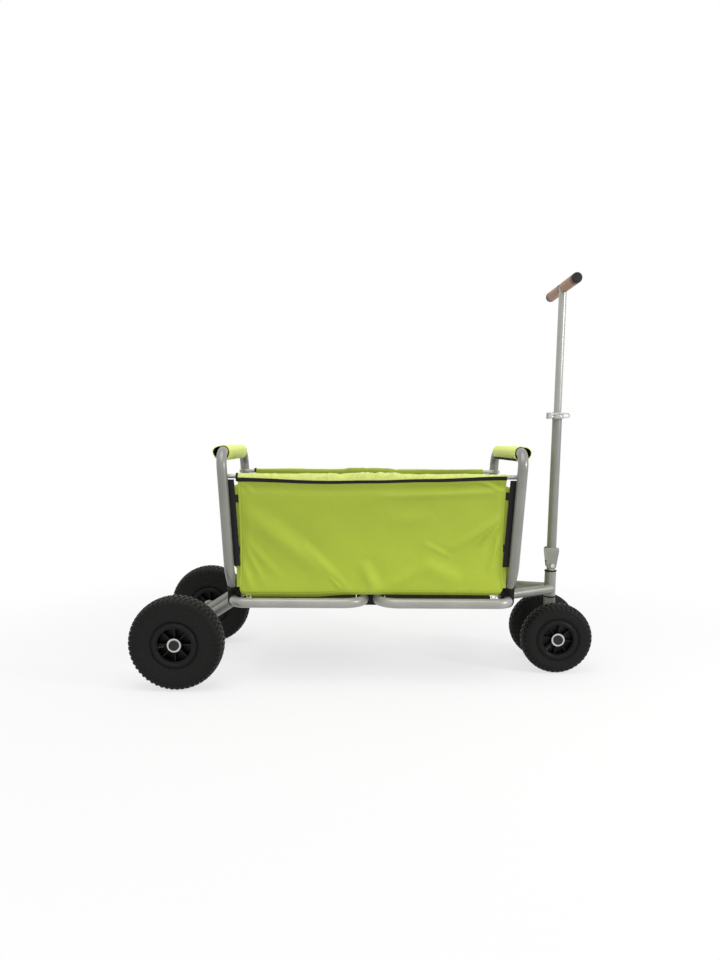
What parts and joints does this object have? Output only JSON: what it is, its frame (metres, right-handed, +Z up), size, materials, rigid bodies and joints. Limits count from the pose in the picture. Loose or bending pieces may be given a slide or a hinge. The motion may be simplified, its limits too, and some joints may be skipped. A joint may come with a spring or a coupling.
{
  "type": "folding wagon",
  "caption": "Folding hand wagon with a hinged floor frame, cloth basket, large rear wheels, close-set steered front wheels and a telescopic drawbar with a cross grip.",
  "frame": {"origin": "on the ground, under the middle of the whole wagon", "axes": "+X forward to the drawbar, +Y to the wagon's left, +Z up"},
  "size_m": [1.319, 0.5852, 1.1315],
  "materials": {
    "frame_paint": "satin silver-grey powder coat",
    "drawbar_paint": "satin light silver powder coat",
    "steel": "zinc plated",
    "tyre": "matt rubber",
    "rim": "fine grained black plastic",
    "bush": "plain",
    "black_plastic": "fine grained",
    "cap_plastic": "satin",
    "floor_board": "black sheet",
    "basket_cloth": "woven, lime green",
    "binding": "black woven tape",
    "handle_pad": "padded sleeve, lime green",
    "grip": "fine grained brown"
  },
  "bodies": {
    "rear_frame": {"rear_bottom_bar": "frame_paint", "rear_connectors": "black_plastic", "rear_end_frame": "frame_paint", "rear_handle_pad": "handle_pad", "basket_end_rear": "basket_cloth", "rear_rail_bolts": "steel", "rear_arms": "frame_paint", "rear_axle": "frame_paint", "rear_axle_washers": "steel", "rear_axle_caps": "cap_plastic"},
    "rear_wheel_left": {"rear_tyre_left": "tyre", "rear_rim_left": "rim", "rear_hub_bushes_left": "bush"},
    "rear_wheel_right": {"rear_tyre_right": "tyre", "rear_rim_right": "rim", "rear_hub_bushes_right": "bush"},
    "floor_rear": {"floor_frame_rear": "frame_paint", "floor_board_rear": "floor_board"},
    "centre_hinge": {"centre_hinge_blocks": "black_plastic", "rail_link_left": "steel", "rail_link_right": "steel"},
    "floor_front": {"floor_frame_front": "frame_paint", "floor_board_front": "floor_board"},
    "front_frame": {"front_bottom_bar": "frame_paint", "front_connectors": "black_plastic", "front_end_frame": "frame_paint", "front_handle_pad": "handle_pad", "basket_end_front": "basket_cloth", "front_rail_bolts": "steel", "front_arms": "frame_paint", "head_tube": "frame_paint", "head_bushes": "bush"},
    "rail_rear_left": {"rail_rear_left": "frame_paint", "basket_side_rear_left": "basket_cloth"},
    "rail_rear_right": {"rail_rear_right": "frame_paint", "basket_side_rear_right": "basket_cloth"},
    "rail_front_left": {"rail_front_left": "frame_paint", "basket_side_front_left": "basket_cloth"},
    "rail_front_right": {"rail_front_right": "frame_paint", "basket_side_front_right": "basket_cloth"},
    "steering": {"steering_stem": "steel", "steering_yoke": "frame_paint", "drawbar_pivot_bolt": "steel", "front_axle": "steel", "front_axle_washers": "steel", "front_axle_caps": "cap_plastic"},
    "front_wheel_left": {"front_tyre_left": "tyre", "front_rim_left": "rim", "front_hub_bushes_left": "bush"},
    "front_wheel_right": {"front_tyre_right": "tyre", "front_rim_right": "rim", "front_hub_bushes_right": "bush"},
    "drawbar": {"drawbar_clevis": "frame_paint", "drawbar_lower_tube": "frame_paint", "drawbar_top_bush": "bush", "drawbar_collar": "steel"},
    "drawbar_upper": {"drawbar_upper_tube": "drawbar_paint", "grip_sleeves": "grip", "grip_end_caps": "cap_plastic"},
    "collar_lever": {"collar_lever": "steel"}
  },
  "joints": [
    {"name": "fold", "type": "hinge", "parent": "rear_frame", "child": "floor_rear", "pos_m": [-0.381, 0, 0.233], "axis": [0, -1, 0], "range_deg": [0, 68], "deforming": ["basket_side_rear_left", "basket_side_rear_right", "basket_side_front_left", "basket_side_front_right"]},
    {"name": "fold_centre_rear", "type": "hinge", "parent": "floor_rear", "child": "centre_hinge", "pos_m": [-0.016, 0, 0.233], "axis": [0, -1, 0], "range_deg": [-68, 0]},
    {"name": "fold_centre_front", "type": "hinge", "parent": "centre_hinge", "child": "floor_front", "pos_m": [0.024, 0, 0.233], "axis": [0, -1, 0], "range_deg": [-68, 0]},
    {"name": "fold_front", "type": "hinge", "parent": "floor_front", "child": "front_frame", "pos_m": [0.389, 0, 0.233], "axis": [0, -1, 0], "range_deg": [0, 68]},
    {"name": "rail_rear_left_pivot", "type": "hinge", "parent": "rear_frame", "child": "rail_rear_left", "pos_m": [-0.4019, 0.191, 0.582], "axis": [0, -1, 0], "range_deg": [0, 68]},
    {"name": "rail_front_left_pivot", "type": "hinge", "parent": "centre_hinge", "child": "rail_front_left", "pos_m": [0.0449, 0.191, 0.582], "axis": [0, -1, 0], "range_deg": [-68, 0]},
    {"name": "rear_wheel_left_spin", "type": "hinge", "parent": "rear_frame", "child": "rear_wheel_left", "pos_m": [-0.5295, 0.25, 0.13], "axis": [0, 1, 0], "continuous": true},
    {"name": "front_wheel_left_spin", "type": "hinge", "parent": "steering", "child": "front_wheel_left", "pos_m": [0.5555, 0.082, 0.104], "axis": [0, 1, 0], "continuous": true},
    {"name": "rail_rear_right_pivot", "type": "hinge", "parent": "rear_frame", "child": "rail_rear_right", "pos_m": [-0.4019, -0.191, 0.582], "axis": [0, -1, 0], "range_deg": [0, 68]},
    {"name": "rail_front_right_pivot", "type": "hinge", "parent": "centre_hinge", "child": "rail_front_right", "pos_m": [0.0449, -0.191, 0.582], "axis": [0, -1, 0], "range_deg": [-68, 0]},
    {"name": "rear_wheel_right_spin", "type": "hinge", "parent": "rear_frame", "child": "rear_wheel_right", "pos_m": [-0.5295, -0.25, 0.13], "axis": [0, 1, 0], "continuous": true},
    {"name": "front_wheel_right_spin", "type": "hinge", "parent": "steering", "child": "front_wheel_right", "pos_m": [0.5555, -0.082, 0.104], "axis": [0, 1, 0], "continuous": true},
    {"name": "steer", "type": "hinge", "parent": "front_frame", "child": "steering", "pos_m": [0.5535, 0, 0.25], "axis": [0, 0, 1], "range_deg": [-90, 90]},
    {"name": "drawbar_tilt", "type": "hinge", "parent": "steering", "child": "drawbar", "pos_m": [0.5535, 0, 0.31], "axis": [0, 1, 0], "range_deg": [0, 85]},
    {"name": "drawbar_length", "type": "slide", "parent": "drawbar", "child": "drawbar_upper", "axis": [0, 0, 1], "range_m": [-0.32, 0]},
    {"name": "lever_swing", "type": "hinge", "parent": "drawbar", "child": "collar_lever", "pos_m": [0.5285, -0.0215, 0.755], "axis": [0, 0, -1], "range_deg": [0, 100]}
  ],
  "couplings": [
    {"joint": "fold_centre_rear", "follows": "fold", "ratio": -1},
    {"joint": "fold_centre_front", "follows": "fold", "ratio": -1},
    {"joint": "fold_front", "follows": "fold", "ratio": 1},
    {"joint": "rail_rear_left_pivot", "follows": "fold", "ratio": 1},
    {"joint": "rail_front_left_pivot", "follows": "fold", "ratio": -1},
    {"joint": "rail_rear_right_pivot", "follows": "fold", "ratio": 1},
    {"joint": "rail_front_right_pivot", "follows": "fold", "ratio": -1}
  ]
}
